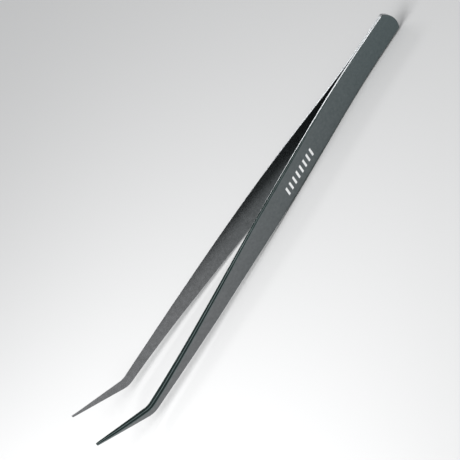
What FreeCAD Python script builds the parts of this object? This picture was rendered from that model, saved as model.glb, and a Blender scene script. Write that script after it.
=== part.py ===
import FreeCAD, Part
import Sketcher
import math
import os

# Bent-tip aquascaping tweezers, in millimetres.
# X runs from the head to the tips, Y is the way the blades open, and Z is across the strip,
# with the tips bent towards +Z. Both blades are the same strip, bent as mirror images.
# A place is a distance along a blade from its head end.

DRIVING_DIMENSIONS = {
    # places along the blade
    "contact_end": 18,
    "bevel_start": 45,
    "flex_line": 57.5,
    "shoulder": 80,
    "side_end": 116,
    "run_end": 172.5,
    "bend": 219,
    "level_start": 230,
    "taper_end": 239,
    "tip_length": 31,
    # the strip and its outline
    "thickness": 1.3,
    "head_width": 11.8,
    "shoulder_width": 13.4,
    "taper_width": 4.8,
    "tip_width": 1.1,
    "head_radius": 8.8,
    "bend_angle": 28,
    # how steeply a blade leaves the middle plane, as slopes
    "flare_slope": 0.124,
    "run_slope": 0.074,
    # the flat between the two bevels of the outer face, and the strip's broken edges
    "side_end_flat": 10.7,
    "ridge_flat": 0.6,
    "edge_break": 0.15,
    # where the lower bevel fades, how far the crest sinks (as shares of half the width), and
    # how far from the tip's end it stops sinking
    "fade_start": 130,
    "fade_end": 165,
    "bend_drop": 0.2,
    "tip_drop": 0.6,
    "lowest_crest": 0.95,
    "crest_runout": 10,
    # spot welds that hold the two blades together
    "weld_diameter": 4,
    "weld_depth": 0.45,
    "weld_first": 5,
    "weld_pitch": 4.5,
}
WELD_COUNT = 3
HEAD_STATIONS = 4
ARM_STATIONS = 12
TIP_STATIONS = 4
TOUCHING = 0.001

doc = FreeCAD.newDocument("tweezers")
sheet = doc.addObject("Spreadsheet::Sheet", "Sizes")
for row, (alias, number) in enumerate(DRIVING_DIMENSIONS.items(), start=1):
    sheet.set(f"A{row}", alias)
    sheet.set(f"B{row}", str(number))
    sheet.setAlias(f"B{row}", alias)
doc.recompute()


# Formulas of the blade, as expressions on the sheet

def between(start, end, step, steps):
    return f"({start} + ({end} - {start}) * {step} / {steps})"


def sloped(place, start, value_at_start, end, value_at_end):
    """A straight change from one value to another between two places."""
    share = f"({place} - {start}) / ({end} - {start})"
    return f"({value_at_start} + ({value_at_end} - {value_at_start}) * {share})"


def rise(place, start, end, slope_at_start, slope_at_end):
    """How far an arc from start to end has carried the blade away from the middle plane."""
    run = f"max(min({place}; {end}) - {start}; 0)"
    bending = f"({slope_at_end} - {slope_at_start}) / (2 * ({end} - {start}))"
    return f"({slope_at_start} * {run} + {bending} * {run} ^ 2)"


def bow(place):
    """The inner face's distance from the middle plane: flare, long run, then level tips."""
    flare = rise(place, "Sizes.contact_end", "Sizes.flex_line", "0", "Sizes.flare_slope")
    run = rise(place, "Sizes.flex_line", "Sizes.run_end", "Sizes.flare_slope", "Sizes.run_slope")
    levelling = rise(place, "Sizes.run_end", "Sizes.level_start", "Sizes.run_slope", "0")
    return f"({flare} + {run} + {levelling})"


def arm_width(place):
    """The width falls in an S curve from the shoulder towards the bend."""
    turn = f"cos(180deg * ({place} - Sizes.shoulder) / (Sizes.taper_end - Sizes.shoulder))"
    fall = f"(Sizes.shoulder_width - Sizes.taper_width) * (1 + {turn}) / 2"
    return f"(Sizes.taper_width + {fall})"


def strip_width(place):
    """The width swells to the shoulder, falls towards the bend, and runs out straight to the tip."""
    swell = f"(1 - cos(180deg * {place} / Sizes.shoulder)) / 2"
    head = f"Sizes.head_width + (Sizes.shoulder_width - Sizes.head_width) * {swell}"
    tip_end = "(Sizes.bend + Sizes.tip_length)"
    tip = sloped(place, "Sizes.bend", arm_width("Sizes.bend"), tip_end, "Sizes.tip_width")
    arm = f"({place} < Sizes.bend ? {arm_width(place)} : {tip})"
    return f"({place} < Sizes.shoulder ? {head} : {arm})"


def flat_width(place):
    """The flat left on the outer face between its two bevels."""
    full = f"({strip_width('Sizes.bevel_start')} - 2 * Sizes.edge_break)"
    plain = f"{strip_width(place)} - 2 * Sizes.edge_break"
    upper = sloped(place, "Sizes.bevel_start", full, "Sizes.side_end", "Sizes.side_end_flat")
    lower = sloped(place, "Sizes.side_end", "Sizes.side_end_flat", "Sizes.bend", "Sizes.ridge_flat")
    ridge = f"({place} < Sizes.bend ? {lower} : Sizes.ridge_flat)"
    bevelled = f"({place} < Sizes.side_end ? {upper} : {ridge})"
    return f"({place} < Sizes.bevel_start ? {plain} : {bevelled})"


def crest_drop(place):
    """How far the crest lies below the centre line, as a share of half the width."""
    arm = sloped(f"max({place}; Sizes.fade_start)", "Sizes.fade_start", "0", "Sizes.bend",
                 "Sizes.bend_drop")
    tip_end = "(Sizes.bend + Sizes.tip_length - Sizes.crest_runout)"
    tip = sloped(f"min({place}; {tip_end})", "Sizes.bend", "Sizes.bend_drop", tip_end,
                 "Sizes.tip_drop")
    return f"({place} < Sizes.bend ? {arm} : {tip})"


def crest_top(place):
    """The upper edge of the outer face's flat, above the centre line."""
    return f"({flat_width(place)} / 2 - {strip_width(place)} / 2 * {crest_drop(place)})"


def crest_bottom(place):
    """The lower edge of that flat, which nears the strip's edge as the lower bevel fades."""
    full = f"({crest_top(place)} - {flat_width(place)})"
    lowest = f"(-{strip_width(place)} / 2 * Sizes.lowest_crest)"
    faded = f"(max(min({place}; Sizes.fade_end) - Sizes.fade_start; 0))"
    share = f"({faded} / (Sizes.fade_end - Sizes.fade_start))"
    return f"({full} + ({lowest} - {full}) * {share})"


def side_height(place):
    """The square side of the strip, which the bevels use up from bevel_start to side_end."""
    full = "(Sizes.thickness - Sizes.edge_break)"
    upper = sloped(place, "Sizes.bevel_start", full, "Sizes.side_end", "Sizes.edge_break")
    bevelled = f"({place} < Sizes.side_end ? {upper} : Sizes.edge_break)"
    return f"({place} < Sizes.bevel_start ? {full} : {bevelled})"


# Sketches and features. Each sketch is first drawn at a rough size, and its constraints, which
# follow the sheet, then bring it to the real one.

START = 1
END = 2
CENTRE = 3
ORIGIN = -1
X_AXIS = -1
Y_AXIS = -2


def origin_plane(body, role):
    for feature in body.Origin.OriginFeatures:
        if feature.Role == role:
            return feature
    raise ValueError(role)


def sketch_on(body, role, name):
    sketch = body.newObject("Sketcher::SketchObject", name)
    sketch.AttachmentSupport = [(origin_plane(body, role), "")]
    sketch.MapMode = "FlatFace"
    return sketch


def measure(sketch, name, formula, kind, *places):
    """A named dimension that follows a formula on the sheet."""
    number = sketch.evalExpression(formula)
    sketch.addConstraint(Sketcher.Constraint(kind, *places, number))
    sketch.renameConstraint(sketch.ConstraintCount - 1, name)
    sketch.setExpression(f"Constraints.{name}", formula)


def closed_outline(sketch, corners):
    """A closed chain of straight lines through the corners."""
    for number, corner in enumerate(corners):
        following = corners[(number + 1) % len(corners)]
        sketch.addGeometry(Part.LineSegment(corner, following))
    for number in range(len(corners)):
        joint = Sketcher.Constraint("Coincident", number, END, (number + 1) % len(corners), START)
        sketch.addConstraint(joint)


def strip_section(body, name, place, widening="1"):
    """The blade's cross-section, drawn across the strip with the inner face on the sketch's axis."""
    sketch = sketch_on(body, "YZ_Plane", name)
    corners = [
        FreeCAD.Vector(0, -5, 0),
        FreeCAD.Vector(0, 5, 0),
        FreeCAD.Vector(0.5, 5, 0),
        FreeCAD.Vector(1, 4, 0),
        FreeCAD.Vector(1, -4, 0),
        FreeCAD.Vector(0.5, -5, 0),
    ]
    closed_outline(sketch, corners)
    inner, upper_side, upper_bevel, flat, lower_bevel, lower_side = range(len(corners))
    sketch.addConstraint(Sketcher.Constraint("PointOnObject", inner, START, Y_AXIS))
    sketch.addConstraint(Sketcher.Constraint("Symmetric", inner, START, inner, END, X_AXIS))
    sketch.addConstraint(Sketcher.Constraint("Vertical", flat))
    sketch.addConstraint(Sketcher.Constraint("Horizontal", upper_side))
    sketch.addConstraint(Sketcher.Constraint("Horizontal", lower_side))
    sketch.addConstraint(Sketcher.Constraint("Equal", upper_side, lower_side))
    full_width = f"{strip_width(place)} * {widening}"
    outer_flat = f"({crest_top(place)} - {crest_bottom(place)}) * {widening}"
    lower_bevel = f"({strip_width(place)} / 2 + {crest_bottom(place)}) * {widening}"
    measure(sketch, "full_width", full_width, "DistanceY", inner, START, inner, END)
    measure(sketch, "outer_flat", outer_flat, "DistanceY", flat, END, flat, START)
    measure(sketch, "lower_bevel", lower_bevel, "DistanceY", inner, START, flat, END)
    measure(sketch, "side", side_height(place), "DistanceX", upper_side, START, upper_side, END)
    measure(sketch, "thickness", "Sizes.thickness", "DistanceX", inner, END, flat, START)
    sketch.setExpression(".AttachmentOffset.Base.x", bow(place))
    return sketch


def straight_section(body, name, place):
    """A section of the straight part, square to X."""
    sketch = strip_section(body, name, place)
    sketch.setExpression(".AttachmentOffset.Base.z", place)
    return sketch


def turned_section(body, name, place, turn, widening="1"):
    """A section past the bend, or on its mitre, turned with the strip."""
    sketch = strip_section(body, name, place, widening)
    past_bend = f"({place} - Sizes.bend)"
    lean = FreeCAD.Rotation(FreeCAD.Vector(1, 0, 0), -1)
    sketch.AttachmentOffset = FreeCAD.Placement(FreeCAD.Vector(), lean)
    sketch.setExpression(".AttachmentOffset.Rotation.Angle", f"-({turn})")
    sketch.setExpression(".AttachmentOffset.Base.x", bow(place))
    sketch.setExpression(
        ".AttachmentOffset.Base.y", f"{past_bend} * sin(Sizes.bend_angle * 1deg)")
    sketch.setExpression(
        ".AttachmentOffset.Base.z", f"Sizes.bend + {past_bend} * cos(Sizes.bend_angle * 1deg)")
    return sketch


def loft(body, name, sections, ruled=False):
    feature = body.newObject("PartDesign::AdditiveLoft", name)
    feature.Profile = sections[0]
    feature.Sections = sections[1:]
    feature.Ruled = ruled
    return feature


def new_body(label):
    body = doc.addObject("PartDesign::Body", label)
    body.Label = label
    return body


def mirrored(source, label):
    """The same piece on the other side of the middle plane."""
    twin = doc.addObject("Part::Mirroring", label)
    twin.Source = source
    twin.Base = FreeCAD.Vector(0, 0, 0)
    twin.Normal = FreeCAD.Vector(0, 1, 0)
    twin.Label = label
    return twin


# The pieces

def blade_head():
    """The flat end of a blade, welded to its twin, and the arc that flares away from it."""
    body = new_body("front_blade_head")
    contact_plate(body)
    flare = []
    for step in range(HEAD_STATIONS):
        place = between("Sizes.contact_end", "Sizes.flex_line", step, HEAD_STATIONS - 1)
        flare.append(straight_section(body, f"flare_section_{step}", place))
    loft(body, "flare", flare)
    weld_seats(body)
    return body


def contact_plate(body):
    """The flat stretch with its rounded end, its outer edges broken."""
    sketch = sketch_on(body, "XZ_Plane", "head_outline")
    shoulder = FreeCAD.Vector(2.5, 6, 0)
    limit = FreeCAD.Vector(18, 6, 0)
    circle = Part.Circle(FreeCAD.Vector(9, 0, 0), FreeCAD.Vector(0, 0, 1), 9)
    sketch.addGeometry(Part.ArcOfCircle(circle, 0.75 * math.pi, 1.25 * math.pi))
    sketch.addGeometry(Part.LineSegment(below(shoulder), below(limit)))
    sketch.addGeometry(Part.LineSegment(below(limit), limit))
    sketch.addGeometry(Part.LineSegment(limit, shoulder))
    arc, lower, front, upper = range(4)
    sketch.addConstraint(Sketcher.Constraint("Coincident", arc, END, lower, START))
    sketch.addConstraint(Sketcher.Constraint("Coincident", lower, END, front, START))
    sketch.addConstraint(Sketcher.Constraint("Coincident", front, END, upper, START))
    sketch.addConstraint(Sketcher.Constraint("Coincident", upper, END, arc, START))
    sketch.addConstraint(Sketcher.Constraint("PointOnObject", arc, CENTRE, X_AXIS))
    sketch.addConstraint(Sketcher.Constraint("Symmetric", arc, START, arc, END, X_AXIS))
    sketch.addConstraint(Sketcher.Constraint("Symmetric", front, START, front, END, X_AXIS))
    measure(sketch, "radius", "Sizes.head_radius", "Radius", arc)
    measure(sketch, "centre", "Sizes.head_radius", "DistanceX", ORIGIN, START, arc, CENTRE)
    measure(sketch, "end_width", "Sizes.head_width", "DistanceY", arc, END, arc, START)
    measure(sketch, "limit_width", strip_width("Sizes.contact_end"), "DistanceY",
            front, START, front, END)
    measure(sketch, "limit", "Sizes.contact_end", "DistanceX", ORIGIN, START, front, START)
    plate = body.newObject("PartDesign::Pad", "plate")
    plate.Profile = sketch
    plate.Reversed = True
    plate.setExpression("Length", "Sizes.thickness")
    doc.recompute()

    outer_edges = []
    for number, edge in enumerate(plate.Shape.Edges, start=1):
        on_outer_face = edge.BoundBox.YMin > sheet.thickness - TOUCHING
        inside_blade = edge.BoundBox.XMin > sheet.contact_end - TOUCHING
        if on_outer_face and not inside_blade:
            outer_edges.append(f"Edge{number}")
    broken = body.newObject("PartDesign::Chamfer", "broken_edges")
    broken.Base = (plate, outer_edges)
    broken.setExpression("Size", "Sizes.edge_break")


def below(point):
    """The point's mirror image on the other side of the strip's centre line."""
    return FreeCAD.Vector(point.x, -point.y, 0)


def weld_seats(body):
    """The hollows in the inner face that the weld nuggets fill."""
    sketch = sketch_on(body, "XZ_Plane", "weld_circles")
    for number in range(WELD_COUNT):
        centre = FreeCAD.Vector(5 + 5 * number, 0, 0)
        sketch.addGeometry(Part.Circle(centre, FreeCAD.Vector(0, 0, 1), 2))
        sketch.addConstraint(Sketcher.Constraint("PointOnObject", number, CENTRE, X_AXIS))
        measure(sketch, f"diameter_{number}", "Sizes.weld_diameter", "Diameter", number)
        measure(sketch, f"place_{number}", weld_place(number), "DistanceX",
                ORIGIN, START, number, CENTRE)
    cut = body.newObject("PartDesign::Pocket", "weld_hollows")
    cut.Profile = sketch
    cut.setExpression("Length", "Sizes.weld_depth")


def weld_place(number):
    """Where a weld is along the blade."""
    return f"Sizes.weld_first + Sizes.weld_pitch * {number}"


def spot_welds():
    """A row of flat round nuggets, half in each blade."""
    nuggets = []
    for number in range(WELD_COUNT):
        nugget = doc.addObject("Part::Cylinder", f"nugget_{number}")
        across = FreeCAD.Rotation(FreeCAD.Vector(1, 0, 0), -90)
        nugget.Placement = FreeCAD.Placement(FreeCAD.Vector(), across)
        nugget.setExpression("Radius", "Sizes.weld_diameter / 2")
        nugget.setExpression("Height", "Sizes.weld_depth * 2")
        nugget.setExpression(".Placement.Base.x", weld_place(number))
        nugget.setExpression(".Placement.Base.y", "-Sizes.weld_depth")
        nuggets.append(nugget)
    welds = doc.addObject("Part::Compound", "spot_welds")
    welds.Links = nuggets
    welds.Label = "spot_welds"
    return welds


def blade_arm():
    """A blade's springing part: the tapering arm, the bend across the strip, and the tip."""
    body = new_body("front_blade_arm")
    arm = []
    for step in range(ARM_STATIONS):
        place = between("Sizes.flex_line", "Sizes.bend", step, ARM_STATIONS)
        arm.append(straight_section(body, f"arm_section_{step}", place))
    half_turn = "Sizes.bend_angle / 2"
    mitre = turned_section(
        body, "mitre", "Sizes.bend", half_turn, widening=f"(1 / cos({half_turn} * 1deg))")
    loft(body, "arm", arm + [mitre])
    tip = [mitre]
    for step in range(1, TIP_STATIONS + 1):
        place = between("Sizes.bend", "(Sizes.bend + Sizes.tip_length)", step, TIP_STATIONS)
        tip.append(turned_section(body, f"tip_section_{step}", place, "Sizes.bend_angle"))
    loft(body, "tip", tip, ruled=True)
    return body


def lay_down(piece):
    """Brings the origin under the middle of the object, on the surface that it lies on."""
    tip_reach = "Sizes.tip_length * cos(Sizes.bend_angle * 1deg)"
    tip_corner = "Sizes.tip_width / 2 * sin(Sizes.bend_angle * 1deg)"
    piece.setExpression(".Placement.Base.x", f"-(Sizes.bend + {tip_reach} + {tip_corner}) / 2")
    piece.setExpression(".Placement.Base.z", "Sizes.shoulder_width / 2")
    return piece


front_head = lay_down(blade_head())
front_arm = lay_down(blade_arm())
doc.recompute()
pieces = [
    front_head,
    mirrored(front_head, "rear_blade_head"),
    lay_down(spot_welds()),
    front_arm,
    mirrored(front_arm, "rear_blade_arm"),
]
doc.recompute()

for item in doc.Objects:
    if "Invalid" in item.State or "Error" in item.State:
        raise RuntimeError(f"{item.Name} failed: {item.State}")
for piece in pieces:
    if piece.Shape.isNull() or not piece.Shape.isValid():
        raise RuntimeError(f"{piece.Label} has no sound shape")

os.makedirs("parts", exist_ok=True)
for piece in pieces:
    piece.Shape.exportStep(f"parts/{piece.Label}.step")
    box = piece.Shape.BoundBox
    print(piece.Label, "solids", len(piece.Shape.Solids), "volume", round(piece.Shape.Volume, 1))
    print("  x", round(box.XMin, 2), round(box.XMax, 2), "y", round(box.YMin, 2), round(box.YMax, 2),
          "z", round(box.ZMin, 2), round(box.ZMax, 2))
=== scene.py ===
import math

import bmesh
import bpy
from mathutils import Matrix, Vector


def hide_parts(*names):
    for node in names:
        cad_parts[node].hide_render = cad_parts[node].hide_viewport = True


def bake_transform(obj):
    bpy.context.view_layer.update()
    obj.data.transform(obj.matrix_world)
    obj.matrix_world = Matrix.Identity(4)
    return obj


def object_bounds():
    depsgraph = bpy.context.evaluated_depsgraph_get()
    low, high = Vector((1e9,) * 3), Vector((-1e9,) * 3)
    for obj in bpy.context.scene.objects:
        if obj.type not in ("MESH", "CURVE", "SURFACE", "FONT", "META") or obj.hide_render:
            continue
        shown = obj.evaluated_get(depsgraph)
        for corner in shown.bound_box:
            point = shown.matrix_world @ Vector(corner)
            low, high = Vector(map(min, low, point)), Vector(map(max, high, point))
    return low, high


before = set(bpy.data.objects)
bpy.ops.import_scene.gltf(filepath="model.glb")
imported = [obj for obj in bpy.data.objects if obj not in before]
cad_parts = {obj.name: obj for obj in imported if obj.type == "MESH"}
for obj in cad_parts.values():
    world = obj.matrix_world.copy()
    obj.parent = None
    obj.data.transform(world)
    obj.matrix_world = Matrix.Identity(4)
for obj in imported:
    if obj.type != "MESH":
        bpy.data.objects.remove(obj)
cad_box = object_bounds()

# Sizes of the blade in metres, the same as the CAD model's. A place is a distance along the
# blade's centre line from the head end, measured as if the bend were sharp. The head end is at
# the frame's lowest x, and the centre line is half the shoulder's width above the surface that
# the tweezers lie on.
MM = 0.001
CONTACT_END = 18 * MM
BEVEL_START = 45 * MM
FLEX_LINE = 57.5 * MM
SHOULDER = 80 * MM
SIDE_END = 116 * MM
RUN_END = 172.5 * MM
BEND = 219 * MM
LEVEL_START = 230 * MM
TAPER_END = 239 * MM
TIP_LENGTH = 31 * MM
BLADE_END = BEND + TIP_LENGTH
THICKNESS = 1.3 * MM
HEAD_WIDTH = 11.8 * MM
SHOULDER_WIDTH = 13.4 * MM
TAPER_WIDTH = 4.8 * MM
TIP_WIDTH = 1.1 * MM
HEAD_RADIUS = 8.8 * MM
BEND_ANGLE = math.radians(28)
FLARE_SLOPE = 0.124
RUN_SLOPE = 0.074
SIDE_END_FLAT = 10.7 * MM
RIDGE_FLAT = 0.6 * MM
EDGE_BREAK = 0.15 * MM

# The lower bevel fades out between two places, and the crest sinks from the first of them on.
# The drops and the lowest crest are shares of half the strip's width.
FADE_START = 130 * MM
FADE_END = 165 * MM
BEND_DROP = 0.2
TIP_DROP = 0.6
LOWEST_CREST = 0.95
CREST_RUNOUT = 10 * MM

HEAD_END_X = cad_box[0][0]
CENTRE_Z = SHOULDER_WIDTH / 2

# What the CAD model leaves plain: a rounded bend, where it has a mitre, rounded edges, and
# bevels crowned by a share of their size
BEND_RADIUS = 10 * MM
EDGE_ROUNDING = 0.16 * MM
INNER_EDGE_ROUNDING = 0.05 * MM
BEVEL_CROWN = 0.045

# The most of a face that a rounding takes up, and the least of half the strip's width that half
# the flat keeps at the round ends
LONGEST_ROUNDING = 0.4
NARROWEST_FLAT = 0.3

# The mesh: how finely a blade is divided
CORNER_POINTS = 4
HEAD_ARC_DEPTH = 2.6 * MM
END_STEPS = 12
FINE_STEP = 0.3 * MM
COARSE_STEP = 1.2 * MM
SHARP_ANGLE = 40

# The finishes of a blade, by their order in its list of materials
OUTER, INNER, SIDE, GROUND, EDGE = range(5)

# The corners of a section, in order: the inner face's two, then the top of the upper side, the
# ridge of the upper bevel and the crest beside it, and the same of the lower side in reverse
(INNER_LOW, INNER_HIGH, UPPER_TOP, UPPER_RIDGE,
 UPPER_CREST, LOWER_CREST, LOWER_RIDGE, LOWER_TOP) = range(8)

# The printed mark: a row of plain slanted bars on the front blade's outer face
MARK_START = 73.8 * MM
MARK_END = 97.9 * MM
MARK_FOOT = -2.6 * MM
MARK_HEAD = 1.1 * MM
MARK_BARS = 8
BAR_WIDTH = 1.15 * MM
BAR_SLANT = -0.35
BAR_STEPS = 3
BAR_SECTION = ((-1, -1), (-1, 1), (1, 1), (1, -1))
INK_PROUD = 0.02 * MM

# The camera, by where it looks and from which side; bearing 0 is +Y
CAMERA_TARGET = Vector((4.25, 0, 15.76)) * MM
CAMERA_DISTANCE = 1.0518
CAMERA_BEARING = -3.66
CAMERA_ELEVATION = 31.86
CAMERA_ROLL = 58.1
CAMERA_LENS = 172.2
CAMERA_NEAR = 0.05
CAMERA_FAR = 20

# The floor and the light
FLOOR_REACH = 6
FLOOR_COLOUR = (0.573, 0.573, 0.573, 1)
AMBIENT = 0.465
AMBIENT_COLOUR = (0.97, 0.985, 1, 1)
KEY_PLACE = (0.30, 0.14, 0.32)
KEY_TARGET = (0.06, 0.02, 0)
KEY_SIZE = (0.42, 0.42)
KEY_POWER = 3.375
BACK_PLACE = (0.06, -1.02, 0.65)
BACK_SIZE = (0.62, 0.2)
BACK_POWER = 2.4


# The shape of a blade

def blend_between(place, start, at_start, end, at_end):
    """A value that changes evenly between two places and is constant outside them."""
    share = min(max((place - start) / (end - start), 0), 1)
    return at_start + (at_end - at_start) * share


def rise(place, start, end, slope_at_start, slope_at_end):
    """How far a curve climbs from its start to a place, while its slope changes evenly."""
    run = min(max(place - start, 0), end - start)
    turn = slope_at_end - slope_at_start
    return slope_at_start * run + turn * run * run / (2 * (end - start))


def bow(place):
    """The inner face's distance from the middle plane."""
    flare = rise(place, CONTACT_END, FLEX_LINE, 0, FLARE_SLOPE)
    run = rise(place, FLEX_LINE, RUN_END, FLARE_SLOPE, RUN_SLOPE)
    levelling = rise(place, RUN_END, LEVEL_START, RUN_SLOPE, 0)
    return flare + run + levelling


def arm_width(place):
    turn = math.cos(math.pi * (place - SHOULDER) / (TAPER_END - SHOULDER))
    return TAPER_WIDTH + (SHOULDER_WIDTH - TAPER_WIDTH) * (1 + turn) / 2


def strip_width(place):
    if place < SHOULDER:
        swell = (1 - math.cos(math.pi * place / SHOULDER)) / 2
        return HEAD_WIDTH + (SHOULDER_WIDTH - HEAD_WIDTH) * swell
    if place < BEND:
        return arm_width(place)
    return blend_between(place, BEND, arm_width(BEND), BLADE_END, TIP_WIDTH)


def flat_width(place):
    """The flat between the two bevels of the outer face."""
    plain = strip_width(place) - 2 * EDGE_BREAK
    if place < BEVEL_START:
        return plain
    if place < SIDE_END:
        full = strip_width(BEVEL_START) - 2 * EDGE_BREAK
        return blend_between(place, BEVEL_START, full, SIDE_END, SIDE_END_FLAT)
    return blend_between(place, SIDE_END, SIDE_END_FLAT, BEND, RIDGE_FLAT)


def side_height(place):
    full = THICKNESS - EDGE_BREAK
    return blend_between(place, BEVEL_START, full, SIDE_END, EDGE_BREAK)


def end_narrowing(distance, radius, width):
    """How much of the width an end arc of that radius leaves, this far from the end."""
    if distance >= radius:
        return width
    return min(width, 2 * math.sqrt(max(radius ** 2 - (radius - distance) ** 2, 0)))


def outline_width(place):
    width = end_narrowing(place, HEAD_RADIUS, strip_width(place))
    return end_narrowing(BLADE_END - place, TIP_WIDTH / 2, width)


def path_point(place):
    """Where the centre line is in the strip's own plane, and the way that it heads."""
    reach = BEND_RADIUS * math.tan(BEND_ANGLE / 2)
    arc = BEND_RADIUS * BEND_ANGLE
    start = BEND - reach
    if place <= start:
        return Vector((place, 0)), 0
    if place >= BEND + reach:
        past = place - BEND
        along = BEND + past * math.cos(BEND_ANGLE)
        return Vector((along, past * math.sin(BEND_ANGLE))), BEND_ANGLE
    angle = BEND_ANGLE * (place - start) / (2 * reach)
    centre = Vector((start, BEND_RADIUS))
    return centre + BEND_RADIUS * Vector((math.sin(angle), -math.cos(angle))), angle


def rounded_corner(before, corner, after, rounding):
    """A small arc in place of a corner, as a quadratic curve of a few points."""
    to_before = before - corner
    to_after = after - corner
    first = corner + to_before.normalized() * min(rounding, to_before.length * LONGEST_ROUNDING)
    last = corner + to_after.normalized() * min(rounding, to_after.length * LONGEST_ROUNDING)
    points = []
    for step in range(CORNER_POINTS):
        share = step / (CORNER_POINTS - 1)
        points.append(first.lerp(corner, share).lerp(corner.lerp(last, share), share))
    return points


def crest_drop(place):
    """How far the crest lies below the centre line, as a share of half the width.

    It sinks along the arm, and past the bend it runs out towards the tip's lower edge.
    """
    if place < BEND:
        return blend_between(place, FADE_START, 0, BEND, BEND_DROP)
    return blend_between(place, BEND, BEND_DROP, BLADE_END - CREST_RUNOUT, TIP_DROP)


def cross_section(place):
    """The closed outline of the strip at a place, as (across, out of the inner face)."""
    half = outline_width(place) / 2
    half_flat = max(min(flat_width(place) / 2, half - EDGE_BREAK), half * NARROWEST_FLAT)
    side = side_height(place)
    crown_across = (THICKNESS - side) * BEVEL_CROWN
    crown_out = (half - half_flat) * BEVEL_CROWN
    middle_out = (side + THICKNESS) / 2 + crown_out
    top = half_flat - half * crest_drop(place)
    bottom = blend_between(
        place, FADE_START, top - 2 * half_flat, FADE_END, -half * LOWEST_CREST)
    corners = [
        Vector((-half, 0)),
        Vector((half, 0)),
        Vector((half, side)),
        Vector(((half + top) / 2 + crown_across, middle_out)),
        Vector((top, THICKNESS)),
        Vector((bottom, THICKNESS)),
        Vector(((bottom - half) / 2 - crown_across, middle_out)),
        Vector((-half, side)),
    ]
    outline = []
    for number, corner in enumerate(corners):
        following = corners[(number + 1) % len(corners)]
        rounding = INNER_EDGE_ROUNDING if corner.y == 0 else EDGE_ROUNDING
        outline += rounded_corner(corners[number - 1], corner, following, rounding)
    return outline


def blade_point(place, across, out, side):
    """A point of a blade in the frame. side is 1 for the front blade and -1 for the rear."""
    centre, heading = path_point(place)
    x = centre.x - across * math.sin(heading)
    z = centre.y + across * math.cos(heading)
    return Vector((HEAD_END_X + x, side * (bow(place) + out), CENTRE_Z + z))


def blade_places():
    """Places of the sections: close together round the head end, the bend and the tip."""
    places = []
    for step in range(1, END_STEPS):
        places.append(HEAD_ARC_DEPTH * (step / END_STEPS) ** 2)
    place = HEAD_ARC_DEPTH
    while place < BLADE_END - TIP_WIDTH / 2:
        places.append(place)
        near_bend = abs(place - BEND) < BEND_RADIUS
        place += FINE_STEP if near_bend else COARSE_STEP
    for step in range(END_STEPS):
        share = 1 - step / END_STEPS
        places.append(BLADE_END - TIP_WIDTH / 2 * share ** 2)
    return places


def make_mesh(name, points, faces):
    mesh = bpy.data.meshes.new(name)
    mesh.from_pydata(points, [], faces)
    mesh.validate()
    thing = bpy.data.objects.new(name, mesh)
    bpy.context.scene.collection.objects.link(thing)
    shaping = bmesh.new()
    shaping.from_mesh(mesh)
    bmesh.ops.recalc_face_normals(shaping, faces=shaping.faces)
    shaping.to_mesh(mesh)
    shaping.free()
    return thing


def smooth(thing, angle):
    thing.data.shade_smooth()
    thing.data.set_sharp_from_angle(angle=math.radians(angle))


def finish_of(column):
    """Which finish a column of faces has, by its order in the section's outline.

    A column is either part of a corner's rounding or the flat face that follows the corner.
    """
    corner, step = divmod(column, CORNER_POINTS)
    flat_face = step == CORNER_POINTS - 1
    if flat_face and corner == INNER_LOW:
        return INNER
    if flat_face and corner == UPPER_CREST:
        return OUTER
    if corner in (INNER_LOW, INNER_HIGH) or (flat_face and corner == LOWER_TOP):
        return SIDE
    if not flat_face and corner in (UPPER_RIDGE, UPPER_CREST, LOWER_CREST, LOWER_RIDGE):
        return EDGE
    return GROUND


def make_blade(name, side, materials):
    points = []
    faces = []
    finishes = []
    places = blade_places()
    for place in places:
        for across, out in cross_section(place):
            points.append(blade_point(place, across, out, side))
    ring = len(points) // len(places)
    for row in range(len(places) - 1):
        for column in range(ring):
            following = (column + 1) % ring
            low = row * ring
            high = low + ring
            faces.append((low + column, low + following, high + following, high + column))
            finishes.append(finish_of(column))
    faces.append(tuple(range(ring)))
    faces.append(tuple(range(len(points) - ring, len(points))))
    blade = make_mesh(name, points, faces)
    smooth(blade, SHARP_ANGLE)
    for material in materials:
        blade.data.materials.append(material)
    for face, finish in zip(blade.data.polygons, finishes + [SIDE, GROUND]):
        face.material_index = finish
    return blade


# The printed mark

def make_mark():
    """Each bar is a thin closed shell, half sunk in the coating."""
    points = []
    faces = []
    ring = len(BAR_SECTION)
    height = MARK_HEAD - MARK_FOOT
    first = MARK_START + BAR_WIDTH / 2
    pitch = (MARK_END - first - BAR_WIDTH / 2 + height * BAR_SLANT) / (MARK_BARS - 1)
    for number in range(MARK_BARS):
        start = len(points)
        for step in range(BAR_STEPS + 1):
            up = height * step / BAR_STEPS
            middle = first + number * pitch + (up - height) * BAR_SLANT
            for edge, out in BAR_SECTION:
                place = middle + edge * BAR_WIDTH / 2
                height_out = THICKNESS + out * INK_PROUD
                points.append(blade_point(place, MARK_FOOT + up, height_out, 1))
        for step in range(BAR_STEPS):
            low = start + ring * step
            high = low + ring
            for corner in range(ring):
                following = (corner + 1) % ring
                faces.append((low + corner, low + following, high + following, high + corner))
        faces.append(tuple(range(start, start + ring)))
        faces.append(tuple(range(len(points) - ring, len(points))))
    mark = make_mesh("printed_mark", points, faces)
    mark.data.materials.append(white_ink())
    return mark


# Materials

def node_material(name):
    """A material with its nodes, its links and its shader."""
    material = bpy.data.materials.new(name)
    material.use_nodes = True
    nodes = material.node_tree.nodes
    return material, nodes, material.node_tree.links, nodes["Principled BSDF"]


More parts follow.
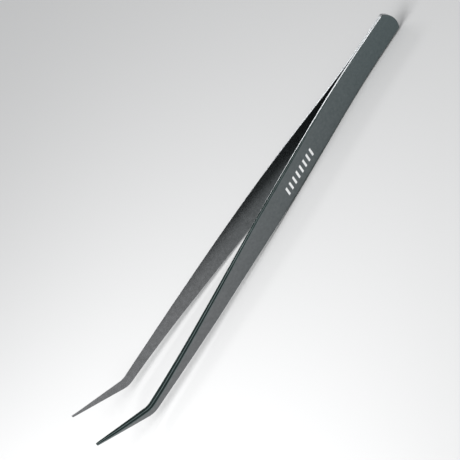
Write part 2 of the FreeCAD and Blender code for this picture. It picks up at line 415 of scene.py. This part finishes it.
def mottle(nodes, links, coordinates, scale, dark, pale):
    """A cloudy tint between two colours, as a node with a colour output."""
    cloud = nodes.new("ShaderNodeTexNoise")
    cloud.inputs["Scale"].default_value = scale
    cloud.inputs["Detail"].default_value = 6
    cloud.inputs["Roughness"].default_value = 0.65
    links.new(coordinates.outputs["Object"], cloud.inputs["Vector"])
    tint = nodes.new("ShaderNodeValToRGB")
    tint.color_ramp.elements[0].position = 0.3
    tint.color_ramp.elements[0].color = dark
    tint.color_ramp.elements[1].position = 0.7
    tint.color_ramp.elements[1].color = pale
    links.new(cloud.outputs["Fac"], tint.inputs["Fac"])
    return tint


def grain(nodes, links, coordinates, shader, scale, roughest, smoothest, depth):
    """A fine blasted texture in the gloss and the relief."""
    speckle = nodes.new("ShaderNodeTexNoise")
    speckle.inputs["Scale"].default_value = scale
    speckle.inputs["Detail"].default_value = 3
    links.new(coordinates.outputs["Object"], speckle.inputs["Vector"])
    gloss = nodes.new("ShaderNodeMapRange")
    gloss.inputs["To Min"].default_value = smoothest
    gloss.inputs["To Max"].default_value = roughest
    links.new(speckle.outputs["Fac"], gloss.inputs["Value"])
    links.new(gloss.outputs["Result"], shader.inputs["Roughness"])
    relief = nodes.new("ShaderNodeBump")
    relief.inputs["Strength"].default_value = 0.25
    relief.inputs["Distance"].default_value = depth
    links.new(speckle.outputs["Fac"], relief.inputs["Height"])
    links.new(relief.outputs["Normal"], shader.inputs["Normal"])


def lengthwise(nodes, links, coordinates, at_head, at_tips):
    """A tint that changes from one mottle to the other, from the head to the thin part."""
    axes = nodes.new("ShaderNodeSeparateXYZ")
    links.new(coordinates.outputs["Object"], axes.inputs["Vector"])
    along = nodes.new("ShaderNodeMapRange")
    along.inputs["From Min"].default_value = HEAD_END_X
    along.inputs["From Max"].default_value = HEAD_END_X + RUN_END
    links.new(axes.outputs["X"], along.inputs["Value"])
    tint = nodes.new("ShaderNodeMix")
    tint.data_type = "RGBA"
    links.new(along.outputs["Result"], tint.inputs["Factor"])
    links.new(at_head.outputs["Color"], tint.inputs["A"])
    links.new(at_tips.outputs["Color"], tint.inputs["B"])
    return tint


def satin_coating():
    """The gunmetal coating on the outer faces: blasted, so that it is matt and a little mottled.

    It has a cold tint at the head; towards the tips it is a little paler and greyer, which is
    painted light for the brighter light there.
    """
    material, nodes, links, shader = node_material("satin_coating")
    coordinates = nodes.new("ShaderNodeTexCoord")
    cold = mottle(
        nodes, links, coordinates, scale=700,
        dark=(0.102, 0.132, 0.136, 1), pale=(0.132, 0.164, 0.168, 1))
    grey = mottle(
        nodes, links, coordinates, scale=700,
        dark=(0.133, 0.138, 0.141, 1), pale=(0.178, 0.183, 0.187, 1))
    tint = lengthwise(nodes, links, coordinates, cold, grey)
    links.new(tint.outputs["Result"], shader.inputs["Base Color"])
    grain(
        nodes, links, coordinates, shader, scale=2600,
        roughest=0.56, smoothest=0.44, depth=0.02 * MM)
    shader.inputs["Metallic"].default_value = 0.75
    return material


def inner_coating():
    """The coating on the inner faces: a little glossier, because nothing rubs or blasts it."""
    material, nodes, links, shader = node_material("inner_coating")
    coordinates = nodes.new("ShaderNodeTexCoord")
    # The tint runs from dark at the head to paler grey towards the tips: painted shade in the
    # narrow gap between the blades near the head.
    cold = mottle(
        nodes, links, coordinates, scale=600,
        dark=(0.057, 0.077, 0.079, 1), pale=(0.096, 0.120, 0.124, 1))
    grey = mottle(
        nodes, links, coordinates, scale=600,
        dark=(0.138, 0.141, 0.143, 1), pale=(0.203, 0.206, 0.212, 1))
    tint = lengthwise(nodes, links, coordinates, cold, grey)
    links.new(tint.outputs["Result"], shader.inputs["Base Color"])
    grain(
        nodes, links, coordinates, shader, scale=2200,
        roughest=0.32, smoothest=0.22, depth=0.012 * MM)
    shader.inputs["Metallic"].default_value = 0.95
    return material


def polished_side():
    """The narrow sides of the strip, polished before coating, so that they shine."""
    material, nodes, links, shader = node_material("polished_side")
    coordinates = nodes.new("ShaderNodeTexCoord")
    tint = mottle(
        nodes, links, coordinates, scale=200,
        dark=(0.31, 0.32, 0.33, 1), pale=(0.40, 0.41, 0.42, 1))
    links.new(tint.outputs["Color"], shader.inputs["Base Color"])
    grain(
        nodes, links, coordinates, shader, scale=1200,
        roughest=0.32, smoothest=0.26, depth=0.001 * MM)
    shader.inputs["Metallic"].default_value = 0.9
    return material


def ground_coating_dark_reflection():
    """The same coating over the ground bevels, where it is smooth; its very dark colour is
    partly the coating's own and partly a painted dark reflection.
    """
    material, nodes, links, shader = node_material("ground_coating_dark_reflection")
    coordinates = nodes.new("ShaderNodeTexCoord")
    tint = mottle(
        nodes, links, coordinates, scale=150,
        dark=(0.018, 0.030, 0.029, 1), pale=(0.025, 0.041, 0.039, 1))
    links.new(tint.outputs["Color"], shader.inputs["Base Color"])
    grain(
        nodes, links, coordinates, shader, scale=1500,
        roughest=0.22, smoothest=0.16, depth=0.005 * MM)
    shader.inputs["Metallic"].default_value = 0.75
    return material


def painted_crest_highlight():
    """The ridges and crests of the bevels, painted paler than the bevels beside them: a painted
    highlight along the crests.
    """
    material, nodes, links, shader = node_material("painted_crest_highlight")
    coordinates = nodes.new("ShaderNodeTexCoord")
    tint = mottle(
        nodes, links, coordinates, scale=260,
        dark=(0.065, 0.090, 0.088, 1), pale=(0.130, 0.161, 0.160, 1))
    links.new(tint.outputs["Color"], shader.inputs["Base Color"])
    grain(
        nodes, links, coordinates, shader, scale=1500,
        roughest=0.42, smoothest=0.32, depth=0.005 * MM)
    shader.inputs["Metallic"].default_value = 0.5
    return material


def white_ink():
    """A screen print, very slightly uneven."""
    material, nodes, links, shader = node_material("white_ink")
    coordinates = nodes.new("ShaderNodeTexCoord")
    tint = mottle(
        nodes, links, coordinates, scale=900,
        dark=(0.90, 0.91, 0.91, 1), pale=(0.97, 0.98, 0.98, 1))
    links.new(tint.outputs["Color"], shader.inputs["Base Color"])
    grain(
        nodes, links, coordinates, shader, scale=2600,
        roughest=0.55, smoothest=0.45, depth=0.004 * MM)
    return material


def weld_metal():
    """Bare steel, rippled where it froze."""
    material, nodes, links, shader = node_material("weld_metal_finish")
    ripple = nodes.new("ShaderNodeTexNoise")
    ripple.inputs["Scale"].default_value = 900
    relief = nodes.new("ShaderNodeBump")
    relief.inputs["Strength"].default_value = 0.3
    relief.inputs["Distance"].default_value = 0.05 * MM
    links.new(ripple.outputs["Fac"], relief.inputs["Height"])
    links.new(relief.outputs["Normal"], shader.inputs["Normal"])
    shader.inputs["Base Color"].default_value = (0.52, 0.51, 0.50, 1)
    shader.inputs["Metallic"].default_value = 1
    shader.inputs["Roughness"].default_value = 0.4
    return material


def floor_paint():
    material, _, _, shader = node_material("floor_finish")
    shader.inputs["Base Color"].default_value = FLOOR_COLOUR
    shader.inputs["Roughness"].default_value = 0.9
    return material


# The scene

def add_camera():
    data = bpy.data.cameras.new("camera")
    camera = bpy.data.objects.new("camera", data)
    bpy.context.scene.collection.objects.link(camera)
    bearing = math.radians(CAMERA_BEARING)
    elevation = math.radians(CAMERA_ELEVATION)
    back = Vector((
        math.sin(bearing) * math.cos(elevation),
        math.cos(bearing) * math.cos(elevation),
        math.sin(elevation),
    ))
    level = Vector((0, 0, 1)).cross(back).normalized()
    upright = back.cross(level)
    turn = math.radians(CAMERA_ROLL)
    up = upright * math.cos(turn) + level * math.sin(turn)
    right = up.cross(back)
    place = Matrix((right, up, back)).transposed().to_4x4()
    place.translation = CAMERA_TARGET + back * CAMERA_DISTANCE
    camera.matrix_world = place
    data.lens = CAMERA_LENS
    data.clip_start = CAMERA_NEAR
    data.clip_end = CAMERA_FAR
    bpy.context.scene.camera = camera


def add_floor():
    mesh = bpy.data.meshes.new("floor")
    corners = [
        (-FLOOR_REACH, -FLOOR_REACH, 0),
        (FLOOR_REACH, -FLOOR_REACH, 0),
        (FLOOR_REACH, FLOOR_REACH, 0),
        (-FLOOR_REACH, FLOOR_REACH, 0),
    ]
    mesh.from_pydata(corners, [], [(0, 1, 2, 3)])
    floor = bpy.data.objects.new("floor", mesh)
    floor.location.z = cad_box[0][2]
    bpy.context.scene.collection.objects.link(floor)
    mesh.materials.append(floor_paint())


def add_softbox(name, place, target, width, height, power):
    data = bpy.data.lights.new(name, "AREA")
    data.shape = "RECTANGLE"
    data.size = width
    data.size_y = height
    data.energy = power
    light = bpy.data.objects.new(name, data)
    light.location = place
    aim = Vector(target) - Vector(place)
    light.rotation_euler = aim.to_track_quat("-Z", "Y").to_euler()
    bpy.context.scene.collection.objects.link(light)


def add_surroundings():
    """An even pale light from all round."""
    world = bpy.data.worlds.new("studio")
    bpy.context.scene.world = world
    world.use_nodes = True
    background = world.node_tree.nodes["Background"]
    background.inputs["Color"].default_value = AMBIENT_COLOUR
    background.inputs["Strength"].default_value = AMBIENT


add_camera()
add_floor()
add_surroundings()
add_softbox("key_softbox", KEY_PLACE, KEY_TARGET, *KEY_SIZE, KEY_POWER)
add_softbox("back_softbox", BACK_PLACE, (0, 0, 0), *BACK_SIZE, BACK_POWER)
bpy.context.scene.view_settings.view_transform = "Standard"

finishes = (satin_coating(), inner_coating(), polished_side(), ground_coating_dark_reflection(), painted_crest_highlight())
for blade_name, side, arm_body, head_node, arm_node in (
    ("front_blade", 1, "front_arm", "front_blade_head", "front_blade_arm"),
    ("rear_blade", -1, "rear_arm", "rear_blade_head", "rear_blade_arm"),
):
    blade = make_blade(blade_name, side, finishes)
    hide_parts(head_node, arm_node)
    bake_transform(blade)

mark = make_mark()
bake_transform(mark)

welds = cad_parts["spot_welds"]
welds.data.materials.clear()
welds.data.materials.append(weld_metal())
